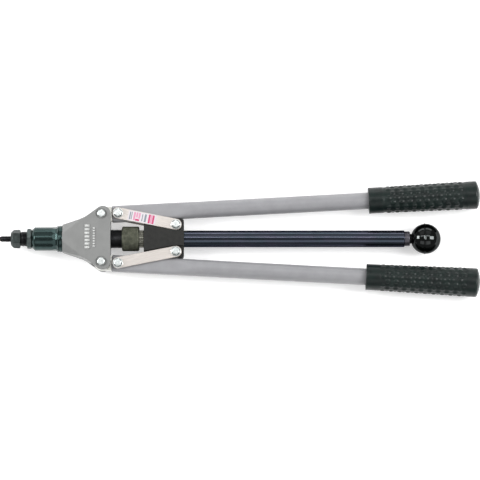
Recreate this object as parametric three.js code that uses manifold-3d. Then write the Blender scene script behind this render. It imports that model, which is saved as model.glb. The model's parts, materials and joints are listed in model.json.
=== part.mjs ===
// Long-arm lever tool that sets threaded inserts. Millimetres, +Z up. The tool lies flat:
// X runs along the tool with the nose towards -X, and the arms swing about Z.
// The origin is under the middle of the tool, on the surface that it lies on.
import * as THREE from 'three';
import Module from 'manifold-3d';
import { mergeVertices } from 'three/addons/utils/BufferGeometryUtils.js';
import { ConvexGeometry } from 'three/addons/geometries/ConvexGeometry.js';

const wasm = await Module();
wasm.setup();

// ---- driving dimensions -------------------------------------------------------------------
const AXIS_HEIGHT = 18.2;          // tool axis above the resting surface
const GAP = 0.3;                   // working gap between neighbouring pieces
const ROUND = 28;                  // facets of a full circle
const SMALL_ROUND = 20;            // facets of a bolt, a pin or a small hole

const PIVOT = { x: -159.9, y: 28.0 };        // arm pivot on the head's lobe
const ARM_SPLAY = 3.08;                      // arm's angle from the tool axis, closed
const LINK_AT = 19.3;                        // link bolt's distance from the pivot, along the arm
const CROSS_PIN = { x: -73.5, y: 15.8 };     // link bolt in the crosshead

const NOSE = { front: -264.9, rear: -254.0, flats: 19, faceR: 7.5, chamfer: 3.5 };
const MANDREL = { tip: -278.2, r: 3.5, boreR: 3.9, headR: 4.5, headFront: -229.7, headRear: -225 };
const SLEEVE = { r: 8.8, spigotR: 6.2, front: -259.5, rear: -224, boreR: 6.4, boreFront: -247.5 };
const LOCK_NUT = { front: -246.2, rear: -240.9, flats: 22 };
const BARREL = {
  front: -240.6, rear: -209.3, r: 13.65, chamfer: 3.4, flareFrom: -213.7, flareTo: -209.9, flareR: 15.3,
  threadR: 11.8, threadRear: -190.5,
};
const RING = { front: -209.0, rear: -205.3, r: 15.4, edge: 0.5 };
const HEAD = {
  front: -205.0, rear: -149.2, frontY: 15.8, waistX: -180.0, waistY: 23.1,
  lobeX: -157.9, lobeR: 9.1, halfZ: 13.5, frontZ: 15.4, boreR: 11.4,
  slotZ: 6.8, slotX: -171.6, slotY: 17.2, spotR: 6.0, spotDeep: 1.0,
};
const EYE = { r: 8.4, halfZ: 6.5, neck: 12.0, tongueHalf: 7.8, tongueZ: 4.4, tongueEnd: 33 };
const ARM = {
  front: 12.3, flatHalfY: 9.6, flatHalfZ: 6.5, flatEnd: 84, tubeFrom: 114, r: 9.7,
  wall: 1.6, rear: 426,
};
const GRIP = { upperFront: 310.2, lowerFront: 306.8, rear: 438.023, frontR: 15.1, rearR: 16.4, collar: 13 };
const LINK = { halfWidth: 6.5, inner: 6.8, thick: 3.0, holeR: 2.62 };
const BOLT_M6 = { r: 3.0, flats: 8, head: 4.0, nutFlats: 10 };
const BOLT_M5 = { r: 2.5, flats: 8, head: 4.4, flangeR: 5.8, flange: 1.1, nut: 4.0 };
const BUSH = { r: 4.6, boreR: 3.08 };
const CROSS = {
  front: -110.7, rear: -64.3, frontHalf: 18.6, rearHalf: 22.9, earZ: 6.5,
  hubFront: 15.4, hubRear: 8.8, hubZ: 11.5, boreR: 8.8, corner: 4,
  slotBack: 2.8, slotOn: 5.0, slotIn: 2.8, slotOut: 3.7,
};
const TRACTION = {
  front: -176, threadR: 11.0, neckFront: -122.4, neckR: 10.1, neckRear: -110.9, spigotR: 8.5,
  rear: -82, boreR: 5.0,
};
const STROKE_NUT = { front: -136.2, rear: -116.1, r: 14.35, boreR: 11.25, pocketR: 11.8, pocket: -122.2 };
const DETENT = { front: -121.9, rear: -118.7, r: 11.5, boreR: 10.4 };
const TUBE = { front: -73, shoulder: -64.1, rear: 191.2, r: 9.7, spigotR: 8.5, boreR: 7.5 };
const END_BUSH = {
  front: 178, shoulder: 191.4, rear: 197.7, r: 8.65, spigotR: 7.2, boreR: 4.8, chamfer: 0.7,
};
const ROD = { r: 4.5, front: -216, rear: 197.7, collarR: 6.9, collarFront: -79.4, collarRear: -74 };
const ADAPTER = { front: -233, lip: -230, rear: -205, r: 6.0, holeR: 3.7, boreR: 4.8 };
const WASHER = { front: -81.7, rear: -79.7, r: 7.9, boreR: 4.8 };
const STUD = { front: 198.0, rear: 203.7, r: 5.9, edge: 0.4 };
const BALL = { x: 216.0, r: 17.5, flat: 200.0, socketR: 6.3, socketEnd: 204.0 };

// ---- solids ---------------------------------------------------------------------------------
const UP = 1;
const DOWN = -1;
const rad = (degrees) => THREE.MathUtils.degToRad(degrees);

function solid(geometry) {
  const bare = geometry.index ? geometry.toNonIndexed() : geometry.clone();
  bare.deleteAttribute('normal');
  bare.deleteAttribute('uv');
  const merged = mergeVertices(bare, 1e-4);
  const index = merged.index.array;
  const at = merged.attributes.position;
  const kept = [];
  let volume = 0;
  const [a, b, c] = [new THREE.Vector3(), new THREE.Vector3(), new THREE.Vector3()];
  for (let i = 0; i < index.length; i += 3) {
    const corners = [index[i], index[i + 1], index[i + 2]];
    if (new Set(corners).size < 3) continue;
    kept.push(...corners);
    a.fromBufferAttribute(at, corners[0]);
    b.fromBufferAttribute(at, corners[1]);
    c.fromBufferAttribute(at, corners[2]);
    volume += a.dot(b.cross(c));
  }
  if (volume < 0) kept.reverse();
  return new wasm.Manifold(new wasm.Mesh({
    numProp: 3,
    vertProperties: new Float32Array(at.array),
    triVerts: new Uint32Array(kept),
  }));
}

function join(...parts) {
  return parts.reduce((whole, part) => whole.add(part));
}

function cut(body, ...tools) {
  return tools.reduce((rest, tool) => rest.subtract(tool), body);
}

function toGeometry(body) {
  const mesh = body.getMesh();
  const geometry = new THREE.BufferGeometry();
  geometry.setAttribute('position', new THREE.BufferAttribute(mesh.vertProperties, 3));
  geometry.setIndex(new THREE.BufferAttribute(mesh.triVerts, 1));
  const flat = geometry.toNonIndexed();
  flat.computeVertexNormals();
  return flat;
}

// Turned piece about X; the profile is [x, radius] pairs.
function turned(profile, facets = ROUND) {
  const points = profile.map(([x, r]) => new THREE.Vector2(r, x));
  return solid(new THREE.LatheGeometry(points, facets).rotateZ(-Math.PI / 2));
}

function turnedBar(profile, facets = ROUND) {
  const first = profile[0];
  const last = profile[profile.length - 1];
  return turned([[first[0], 0], ...profile, [last[0], 0]], facets);
}

function rodX(x0, x1, r, facets = ROUND) {
  return turnedBar([[x0, r], [x1, r]], facets);
}

function rodZ(x, y, z0, z1, r, facets = ROUND) {
  const bar = new THREE.CylinderGeometry(r, r, z1 - z0, facets).rotateX(Math.PI / 2);
  return solid(bar.translate(x, y, (z0 + z1) / 2));
}

// Six-sided bar along X with its flats facing +Y and -Y, or +Z and -Z.
function hexX(x0, x1, flats, flatsFaceY) {
  const bar = new THREE.CylinderGeometry(flats / Math.sqrt(3), flats / Math.sqrt(3), x1 - x0, 6);
  bar.rotateY(flatsFaceY ? 0 : Math.PI / 6).rotateZ(-Math.PI / 2);
  return solid(bar.translate((x0 + x1) / 2, 0, 0));
}

function hexZ(x, y, z0, z1, flats, turn = 0) {
  const bar = new THREE.CylinderGeometry(flats / Math.sqrt(3), flats / Math.sqrt(3), z1 - z0, 6);
  bar.rotateX(Math.PI / 2).rotateZ(turn);
  return solid(bar.translate(x, y, (z0 + z1) / 2));
}

function block(x0, x1, y0, y1, z0, z1) {
  const box = new THREE.BoxGeometry(x1 - x0, y1 - y0, z1 - z0);
  return solid(box.translate((x0 + x1) / 2, (y0 + y1) / 2, (z0 + z1) / 2));
}

function plate(shape, z0, z1, curveSegments = 12) {
  const settings = { depth: z1 - z0, bevelEnabled: false, curveSegments };
  return solid(new THREE.ExtrudeGeometry(shape, settings).translate(0, 0, z0));
}

function hull(points) {
  return solid(new ConvexGeometry(points.map(([x, y, z]) => new THREE.Vector3(x, y, z))));
}

// ---- nose -----------------------------------------------------------------------------------
function nosepiece() {
  const widest = NOSE.flats / Math.sqrt(3);
  const shell = turnedBar([
    [NOSE.front, NOSE.faceR],
    [NOSE.front + NOSE.chamfer, widest - 0.2],
    [NOSE.rear - 0.8, widest + 0.01],
    [NOSE.rear, widest - 0.6],
  ]);
  const body = hexX(NOSE.front - 1, NOSE.rear + 1, NOSE.flats, false).intersect(shell);
  const bore = rodX(NOSE.front - 1, NOSE.rear + 1, MANDREL.boreR);
  const socket = rodX(SLEEVE.front - GAP, NOSE.rear + 1, SLEEVE.spigotR + GAP);
  return cut(body, bore, socket);
}

function noseSleeve() {
  const body = turnedBar([
    [SLEEVE.front, SLEEVE.spigotR],
    [NOSE.rear + GAP, SLEEVE.spigotR],
    [NOSE.rear + GAP, SLEEVE.r],
    [SLEEVE.rear, SLEEVE.r],
  ]);
  const bore = rodX(SLEEVE.boreFront, SLEEVE.rear + 1, SLEEVE.boreR);
  const hole = rodX(SLEEVE.front - 1, SLEEVE.boreFront + 1, MANDREL.boreR);
  return cut(body, bore, hole);
}

function lockNut() {
  const edge = LOCK_NUT.flats / Math.sqrt(3);
  const shell = turnedBar([
    [LOCK_NUT.front, edge - 1.2],
    [LOCK_NUT.front + 0.8, edge + 0.01],
    [LOCK_NUT.rear - 0.8, edge + 0.01],
    [LOCK_NUT.rear, edge - 1.2],
  ]);
  const body = hexX(LOCK_NUT.front - 1, LOCK_NUT.rear + 1, LOCK_NUT.flats, true).intersect(shell);
  return cut(body, rodX(LOCK_NUT.front - 1, LOCK_NUT.rear + 1, SLEEVE.r + GAP));
}

function barrel() {
  const body = turnedBar([
    [BARREL.front, BARREL.r - BARREL.chamfer],
    [BARREL.front + BARREL.chamfer, BARREL.r],
    [BARREL.flareFrom, BARREL.r],
    [BARREL.flareTo, BARREL.flareR],
    [BARREL.rear, BARREL.flareR],
    [BARREL.rear, BARREL.threadR],
    [BARREL.threadRear, BARREL.threadR],
  ]);
  const frontBore = rodX(BARREL.front - 1, SLEEVE.rear + GAP, SLEEVE.r + GAP);
  const rearBore = rodX(SLEEVE.rear - 1, BARREL.threadRear + 1, ADAPTER.r + 0.6);
  return cut(body, frontBore, rearBore);
}

function barrelLockRing() {
  const body = turnedBar([
    [RING.front, RING.r - RING.edge],
    [RING.front + RING.edge, RING.r],
    [RING.rear - RING.edge, RING.r],
    [RING.rear, RING.r - RING.edge],
  ]);
  return cut(body, rodX(RING.front - 1, RING.rear + 1, BARREL.threadR + GAP));
}

// ---- head -----------------------------------------------------------------------------------
// Outline: straight front, flanks that widen, a waist, and a round lobe at each pivot.
function headOutline() {
  const toLobe = Math.atan2(PIVOT.y - HEAD.waistY, HEAD.lobeX - HEAD.waistX);
  const reach = Math.hypot(HEAD.lobeX - HEAD.waistX, PIVOT.y - HEAD.waistY);
  const start = toLobe + Math.PI - Math.acos(HEAD.lobeR / reach);
  const shape = new THREE.Shape();
  shape.moveTo(HEAD.front, -HEAD.frontY);
  shape.lineTo(HEAD.waistX, -HEAD.waistY);
  shape.absarc(HEAD.lobeX, -PIVOT.y, HEAD.lobeR, -start, 0, false);
  shape.lineTo(HEAD.rear, PIVOT.y);
  shape.absarc(HEAD.lobeX, PIVOT.y, HEAD.lobeR, 0, start, false);
  shape.lineTo(HEAD.waistX, HEAD.waistY);
  shape.lineTo(HEAD.front, HEAD.frontY);
  return shape;
}

// Wedge that takes one front corner off, so that a flat facet runs back from the front face.
function cornerWedge(sideY, sideZ) {
  const out = HEAD.frontZ + 14;
  const ahead = HEAD.front - 1;
  const back = HEAD.waistX - 3;
  const points = [
    [ahead, HEAD.frontY * 0.4, HEAD.frontZ + 0.1],
    [ahead, HEAD.frontY + 0.1, HEAD.frontZ * 0.4],
    [back, HEAD.waistY - 1.5, HEAD.halfZ],
    [ahead, HEAD.frontY + 10, HEAD.frontZ * 0.4],
    [ahead, HEAD.frontY * 0.4, out],
    [ahead, HEAD.frontY + 10, out],
    [back, HEAD.waistY + 2, out],
  ];
  return hull(points.map(([x, y, z]) => [x, y * sideY, z * sideZ]));
}

function headCasting() {
  const side = new THREE.Shape([
    new THREE.Vector2(HEAD.front, -HEAD.frontZ),
    new THREE.Vector2(HEAD.waistX, -HEAD.halfZ),
    new THREE.Vector2(HEAD.rear, -HEAD.halfZ),
    new THREE.Vector2(HEAD.rear, HEAD.halfZ),
    new THREE.Vector2(HEAD.waistX, HEAD.halfZ),
    new THREE.Vector2(HEAD.front, HEAD.frontZ),
  ]);
  const sideways = new THREE.ExtrudeGeometry(side, { depth: 120, bevelEnabled: false });
  let body = plate(headOutline(), -HEAD.frontZ, HEAD.frontZ, 12)
    .intersect(solid(sideways.rotateX(Math.PI / 2).translate(0, 60, 0)));
  body = cut(body, rodX(HEAD.front - 1, HEAD.rear + 1, HEAD.boreR));
  body = cut(body, rodX(HEAD.front - 1, BARREL.threadRear + GAP, BARREL.threadR + GAP));
  for (const y of [UP, DOWN]) {
    const [near, far] = [HEAD.slotY, PIVOT.y + 20].map((value) => value * y);
    body = cut(
      body,
      block(HEAD.slotX, HEAD.rear + 1, Math.min(near, far), Math.max(near, far), -HEAD.slotZ, HEAD.slotZ),
      rodZ(PIVOT.x, PIVOT.y * y, -HEAD.halfZ - 1, HEAD.halfZ + 1, BOLT_M6.r + 0.1, SMALL_ROUND),
      rodZ(PIVOT.x, PIVOT.y * y, HEAD.halfZ - HEAD.spotDeep, HEAD.halfZ + 1, HEAD.spotR, SMALL_ROUND),
      rodZ(PIVOT.x, PIVOT.y * y, -HEAD.halfZ - 1, HEAD.spotDeep - HEAD.halfZ, HEAD.spotR, SMALL_ROUND),
      cornerWedge(y, 1),
      cornerWedge(y, -1),
    );
  }
  return body;
}

function pivotBolt(side) {
  const seat = HEAD.halfZ - HEAD.spotDeep + 0.02;
  return join(
    hexZ(PIVOT.x, PIVOT.y * side, seat, seat + BOLT_M6.head, BOLT_M6.flats, rad(20)),
    rodZ(PIVOT.x, PIVOT.y * side, -AXIS_HEIGHT + 0.2, seat + 1, BOLT_M6.r, SMALL_ROUND),
  );
}

function pivotNut(side) {
  const seat = HEAD.spotDeep - HEAD.halfZ - 0.02;
  const nut = hexZ(PIVOT.x, PIVOT.y * side, -AXIS_HEIGHT, seat, BOLT_M6.nutFlats);
  return cut(nut, rodZ(PIVOT.x, PIVOT.y * side, -AXIS_HEIGHT - 1, seat + 1, BOLT_M6.r + 0.05, 24));
}

function pivotBush(side) {
  const sleeve = rodZ(PIVOT.x, PIVOT.y * side, -EYE.halfZ - 0.1, EYE.halfZ + 0.1, BUSH.r, SMALL_ROUND);
  return cut(sleeve, rodZ(PIVOT.x, PIVOT.y * side, -EYE.halfZ - 1, EYE.halfZ + 1, BUSH.boreR + 0.03, 24));
}

// ---- arms, drawn along +X from the pivot and then turned into place ---------------------------
function placeArm(body, side) {
  return body.rotate([0, 0, ARM_SPLAY * side]).translate([PIVOT.x, PIVOT.y * side, 0]);
}

function armEye(side) {
  const shape = new THREE.Shape();
  shape.moveTo(EYE.neck, EYE.r);
  shape.lineTo(0, EYE.r);
  shape.absarc(0, 0, EYE.r, Math.PI / 2, 1.5 * Math.PI, false);
  shape.lineTo(EYE.neck, -EYE.r);
  const tongue = block(
    EYE.neck - 1, EYE.tongueEnd, -EYE.tongueHalf, EYE.tongueHalf, -EYE.tongueZ, EYE.tongueZ,
  );
  const body = cut(
    join(plate(shape, -EYE.halfZ, EYE.halfZ, 12), tongue),
    rodZ(0, 0, -EYE.halfZ - 1, EYE.halfZ + 1, BUSH.r + 0.05, SMALL_ROUND),
    rodZ(LINK_AT, 0, -EYE.halfZ - 1, EYE.halfZ + 1, LINK.holeR, SMALL_ROUND),
  );
  return placeArm(body, side);
}

// The tube is round, and its front is pressed to a flat-sided section that holds the eye.
function armTube(side) {
  const flat = block(
    ARM.front, ARM.flatEnd, -ARM.flatHalfY, ARM.flatHalfY, -ARM.flatHalfZ, ARM.flatHalfZ,
  );
  const corners = [];
  for (const y of [-ARM.flatHalfY, ARM.flatHalfY]) {
    for (const z of [-ARM.flatHalfZ, ARM.flatHalfZ]) {
      corners.push([ARM.flatEnd - 1, y, z]);
    }
  }
  for (let i = 0; i < ROUND; i += 1) {
    const turn = (i / ROUND) * 2 * Math.PI;
    corners.push([ARM.tubeFrom, ARM.r * Math.cos(turn), ARM.r * Math.sin(turn)]);
  }
  const body = cut(
    join(flat, hull(corners), rodX(ARM.tubeFrom - 0.01, ARM.rear, ARM.r)),
    rodX(ARM.tubeFrom, ARM.rear + 1, ARM.r - ARM.wall, SMALL_ROUND),
    block(
      ARM.front - 1, EYE.tongueEnd + GAP, -EYE.tongueHalf - 0.15, EYE.tongueHalf + 0.15,
      -EYE.tongueZ - 0.15, EYE.tongueZ + 0.15,
    ),
    rodZ(LINK_AT, 0, -ARM.flatHalfZ - 1, ARM.flatHalfZ + 1, LINK.holeR, SMALL_ROUND),
  );
  return placeArm(body, side);
}

function grip(side) {
  const front = side === UP ? GRIP.upperFront : GRIP.lowerFront;
  const end = GRIP.rear;
  const round = 3.2;
  const profile = [
    [front, GRIP.frontR - 0.8],
    [front + 0.8, GRIP.frontR],
    [front + GRIP.collar, GRIP.frontR],
    [end - GRIP.collar, GRIP.rearR],
  ];
  for (let i = 0; i <= 4; i += 1) {
    const turn = (i / 4) * (Math.PI / 2);
    profile.push([end - round + round * Math.sin(turn), GRIP.rearR - round + round * Math.cos(turn)]);
  }
  const body = cut(turnedBar(profile), rodX(front - 1, ARM.rear + GAP, ARM.r + 0.1));
  return placeArm(body, side);
}

// ---- links ------------------------------------------------------------------------------------
const armPin = {
  x: PIVOT.x + LINK_AT * Math.cos(rad(ARM_SPLAY)),
  y: PIVOT.y + LINK_AT * Math.sin(rad(ARM_SPLAY)),
};
const linkLength = Math.hypot(CROSS_PIN.x - armPin.x, CROSS_PIN.y - armPin.y);
const linkAngle = Math.atan2(CROSS_PIN.y - armPin.y, CROSS_PIN.x - armPin.x);

function linkBar(side, face) {
  const shape = new THREE.Shape();
  shape.absarc(0, 0, LINK.halfWidth, Math.PI / 2, 1.5 * Math.PI, false);
  shape.absarc(linkLength, 0, LINK.halfWidth, 1.5 * Math.PI, 2.5 * Math.PI, false);
  for (const x of [0, linkLength]) {
    const hole = new THREE.Path();
    hole.absarc(x, 0, LINK.holeR, 0, 2 * Math.PI, true);
    shape.holes.push(hole);
  }
  const low = face === UP ? LINK.inner : -LINK.inner - LINK.thick;
  return plate(shape, low, low + LINK.thick, 8)
    .rotate([0, 0, THREE.MathUtils.radToDeg(linkAngle) * side])
    .translate([armPin.x, armPin.y * side, 0]);
}

const linkOuter = LINK.inner + LINK.thick + 0.1;

function linkBolt(at, side) {
  return join(
    hexZ(at.x, at.y * side, linkOuter, linkOuter + BOLT_M5.head, BOLT_M5.flats, rad(20)),
    rodZ(at.x, at.y * side, linkOuter, linkOuter + BOLT_M5.flange, BOLT_M5.flangeR, SMALL_ROUND),
    rodZ(at.x, at.y * side, -linkOuter - BOLT_M5.nut - 0.8, linkOuter + 1, BOLT_M5.r, SMALL_ROUND),
  );
}

function linkNut(at, side) {
  const nut = hexZ(at.x, at.y * side, -linkOuter - BOLT_M5.nut, -linkOuter, BOLT_M5.flats);
  return cut(nut, rodZ(at.x, at.y * side, -linkOuter - 6, -linkOuter + 1, BOLT_M5.r + 0.05, 24));
}

// ---- crosshead and traction line ----------------------------------------------------------------
// Ears that the links lie on, with a hub between the links that narrows as they close in.
function crosshead() {
  const shape = new THREE.Shape();
  shape.moveTo(CROSS.front, -CROSS.frontHalf);
  shape.lineTo(CROSS.rear - CROSS.corner, -CROSS.rearHalf);
  shape.quadraticCurveTo(CROSS.rear, -CROSS.rearHalf, CROSS.rear, CROSS.corner - CROSS.rearHalf);
  shape.lineTo(CROSS.rear, CROSS.rearHalf - CROSS.corner);
  shape.quadraticCurveTo(CROSS.rear, CROSS.rearHalf, CROSS.rear - CROSS.corner, CROSS.rearHalf);
  shape.lineTo(CROSS.front, CROSS.frontHalf);
  const hub = new THREE.Shape([
    new THREE.Vector2(CROSS.front, -CROSS.hubFront),
    new THREE.Vector2(CROSS_PIN.x, -CROSS.hubRear),
    new THREE.Vector2(CROSS.rear, -CROSS.hubRear),
    new THREE.Vector2(CROSS.rear, CROSS.hubRear),
    new THREE.Vector2(CROSS_PIN.x, CROSS.hubRear),
    new THREE.Vector2(CROSS.front, CROSS.hubFront),
  ]);
  let body = join(
    plate(shape, -CROSS.earZ, CROSS.earZ, 6),
    plate(hub, -CROSS.hubZ, CROSS.hubZ),
  );
  body = cut(body, rodX(CROSS.front - 1, CROSS.rear + 1, CROSS.boreR));
  for (const side of [UP, DOWN]) {
    body = cut(body, pinSlot(side));
  }
  return body;
}

// Slot that leaves the link bolt room where the linkage is opened.
function pinSlot(side) {
  const { x, y } = CROSS_PIN;
  const corner = 2.6;
  const points = [];
  const centres = [
    [x + CROSS.slotOn - corner, y + CROSS.slotOut - corner, 0],
    [x - CROSS.slotBack + corner, y + CROSS.slotOut - corner, 1],
    [x - CROSS.slotBack + corner, y - CROSS.slotIn + corner, 2],
    [x + CROSS.slotOn - corner, y - CROSS.slotIn + corner, 3],
  ];
  for (const [cx, cy, quarter] of centres) {
    for (let i = 0; i <= 4; i += 1) {
      const turn = (quarter + i / 4) * (Math.PI / 2);
      points.push([cx + corner * Math.cos(turn), (cy + corner * Math.sin(turn)) * side]);
    }
  }
  return hull(points.flatMap(([px, py]) => [[px, py, -CROSS.earZ - 1], [px, py, CROSS.earZ + 1]]));
}

function tractionSleeve() {
  const body = turnedBar([
    [TRACTION.front, TRACTION.threadR - 1],
    [TRACTION.front + 1, TRACTION.threadR],
    [TRACTION.neckFront, TRACTION.threadR],
    [TRACTION.neckFront, TRACTION.neckR],
    [TRACTION.neckRear, TRACTION.neckR],
    [TRACTION.neckRear, TRACTION.spigotR],
    [TRACTION.rear, TRACTION.spigotR],
  ]);
  return cut(body, rodX(TRACTION.front - 1, TRACTION.rear + 1, TRACTION.boreR));
}

function strokeNut() {
  const edge = 1.2;
  const body = turnedBar([
    [STROKE_NUT.front, STROKE_NUT.r - edge],
    [STROKE_NUT.front + edge, STROKE_NUT.r],
    [STROKE_NUT.rear - edge, STROKE_NUT.r],
    [STROKE_NUT.rear, STROKE_NUT.r - edge],
  ]);
  return cut(
    body,
    rodX(STROKE_NUT.front - 1, STROKE_NUT.rear + 1, STROKE_NUT.boreR),
    rodX(STROKE_NUT.pocket, STROKE_NUT.rear + 1, STROKE_NUT.pocketR),
  );
}

function detentRing() {
  const body = rodX(DETENT.front, DETENT.rear, DETENT.r);
  return cut(body, rodX(DETENT.front - 1, DETENT.rear + 1, DETENT.boreR));
}

function guideTube() {
  const body = turnedBar([
    [TUBE.front, TUBE.spigotR],
    [TUBE.shoulder, TUBE.spigotR],
    [TUBE.shoulder, TUBE.r],
    [TUBE.rear - 0.6, TUBE.r],
    [TUBE.rear, TUBE.r - 0.6],
  ]);
  return cut(body, rodX(TUBE.front - 1, TUBE.rear + 1, TUBE.boreR));
}

function tubeEndBush() {
  const body = turnedBar([
    [END_BUSH.front, END_BUSH.spigotR],
    [END_BUSH.shoulder, END_BUSH.spigotR],
    [END_BUSH.shoulder, END_BUSH.r],
    [END_BUSH.rear - END_BUSH.chamfer, END_BUSH.r],
    [END_BUSH.rear, END_BUSH.r - END_BUSH.chamfer],
  ]);
  return cut(body, rodX(END_BUSH.front - 1, END_BUSH.rear + 1, END_BUSH.boreR));
}

// ---- spindle ------------------------------------------------------------------------------------
function mandrel() {
  return turnedBar([
    [MANDREL.tip, MANDREL.r * 0.62],
    [MANDREL.tip + 1.6, MANDREL.r],
    [MANDREL.headFront, MANDREL.r],
    [MANDREL.headFront, MANDREL.headR],
    [MANDREL.headRear, MANDREL.headR],
  ], SMALL_ROUND);
}

function mandrelAdapter() {
  const body = turnedBar([
    [ADAPTER.front, ADAPTER.r - 0.8],
    [ADAPTER.front + 0.8, ADAPTER.r],
    [ADAPTER.rear, ADAPTER.r],
  ], SMALL_ROUND);
  return cut(
    body,
    rodX(ADAPTER.front - 1, ADAPTER.lip + 1, ADAPTER.holeR, SMALL_ROUND),
    rodX(ADAPTER.lip, ADAPTER.rear + 1, ADAPTER.boreR, SMALL_ROUND),
  );
}

function spindleRod() {
  return turnedBar([
    [ROD.front, ROD.r],
    [ROD.collarFront, ROD.r],
    [ROD.collarFront, ROD.collarR],
    [ROD.collarRear, ROD.collarR],
    [ROD.collarRear, ROD.r],
    [ROD.rear, ROD.r],
  ], SMALL_ROUND);
}

function thrustWasher() {
  const body = rodX(WASHER.front, WASHER.rear, WASHER.r, SMALL_ROUND);
  return cut(body, rodX(WASHER.front - 1, WASHER.rear + 1, WASHER.boreR, 28));
}

function knobStud() {
  return turnedBar([
    [STUD.front, STUD.r - STUD.edge],
    [STUD.front + STUD.edge, STUD.r],
    [STUD.rear, STUD.r],
  ], SMALL_ROUND);
}

function ballKnob() {
  const start = Math.acos((BALL.x - BALL.flat) / BALL.r);
  const steps = 12;
  const profile = [];
  for (let i = 0; i <= steps; i += 1) {
    const turn = start + (i / steps) * (Math.PI - start);
    profile.push([BALL.x - BALL.r * Math.cos(turn), BALL.r * Math.sin(turn)]);
  }
  profile[steps][1] = 0;
  const body = turned([[BALL.flat, 0], ...profile]);
  return cut(body, rodX(BALL.flat - 1, BALL.socketEnd, BALL.socketR, 28));
}

// ---- assembly -------------------------------------------------------------------------------------
const FINISH = {
  blackened: { color: 0x2c3a3a, roughness: 0.45, metalness: 0.8 },
  nose: { color: 0x4c5654, roughness: 0.5, metalness: 0.75 },
  black: { color: 0x17181a, roughness: 0.5, metalness: 0.6 },
  paint: { color: 0x959695, roughness: 0.55, metalness: 0.1 },
  armPaint: { color: 0xa0a0a3, roughness: 0.5, metalness: 0.1 },
  rubber: { color: 0x2a2f2d, roughness: 0.8, metalness: 0 },
  bright: { color: 0xd7d2cb, roughness: 0.35, metalness: 0.9 },
  zinc: { color: 0xdfe4e4, roughness: 0.25, metalness: 0.95 },
  phosphated: { color: 0x3b3a37, roughness: 0.65, metalness: 0.5 },
  knurled: { color: 0x555549, roughness: 0.55, metalness: 0.7 },
  blued: { color: 0x26303a, roughness: 0.22, metalness: 0.85 },
  collar: { color: 0x5a585f, roughness: 0.4, metalness: 0.8 },
  bronze: { color: 0xa6814a, roughness: 0.4, metalness: 0.8 },
  phenolic: { color: 0x0c0d0e, roughness: 0.08, metalness: 0 },
};

const group = new THREE.Group();
group.position.z = AXIS_HEIGHT;

function add(name, body, finish) {
  const material = new THREE.MeshStandardMaterial(FINISH[finish]);
  const mesh = new THREE.Mesh(toGeometry(body), material);
  mesh.name = name;
  group.add(mesh);
}

add('mandrel', mandrel(), 'black');
add('nosepiece', nosepiece(), 'nose');
add('nose_sleeve', noseSleeve(), 'black');
add('lock_nut', lockNut(), 'nose');
add('barrel', barrel(), 'blackened');
add('barrel_lock_ring', barrelLockRing(), 'blackened');
add('head_casting', headCasting(), 'paint');

for (const [name, side] of [['upper', UP], ['lower', DOWN]]) {
  add(`${name}_pivot_bolt`, pivotBolt(side), 'zinc');
  add(`${name}_pivot_nut`, pivotNut(side), 'zinc');
  add(`${name}_pivot_bush`, pivotBush(side), 'bronze');
  add(`${name}_arm_eye`, armEye(side), 'bright');
  add(`${name}_arm_tube`, armTube(side), 'armPaint');
  add(`${name}_grip`, grip(side), 'rubber');
  add(`${name}_front_link`, linkBar(side, UP), 'bright');
  add(`${name}_rear_link`, linkBar(side, DOWN), 'bright');
  add(`${name}_arm_link_bolt`, linkBolt(armPin, side), 'zinc');
  add(`${name}_arm_link_nut`, linkNut(armPin, side), 'zinc');
  add(`${name}_crosshead_link_bolt`, linkBolt(CROSS_PIN, side), 'zinc');
  add(`${name}_crosshead_link_nut`, linkNut(CROSS_PIN, side), 'zinc');
}

add('crosshead', crosshead(), 'phosphated');
add('traction_sleeve', tractionSleeve(), 'black');
add('stroke_nut', strokeNut(), 'knurled');
add('detent_ring', detentRing(), 'bright');
add('thrust_washer', thrustWasher(), 'bronze');
add('guide_tube', guideTube(), 'blued');
add('tube_end_bush', tubeEndBush(), 'collar');
add('mandrel_adapter', mandrelAdapter(), 'black');
add('spindle_rod', spindleRod(), 'bright');
add('knob_stud', knobStud(), 'black');
add('ball_knob', ballKnob(), 'phenolic');

export default group;
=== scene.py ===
"""Looks of a long-arm lever tool for rivet nuts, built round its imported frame.

Local sizes are in millimetres. X runs along the tool with the nose towards -X, and the arms swing about Z.
"""
import json
import math

import bmesh
import bpy
from mathutils import Matrix, Vector


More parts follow.
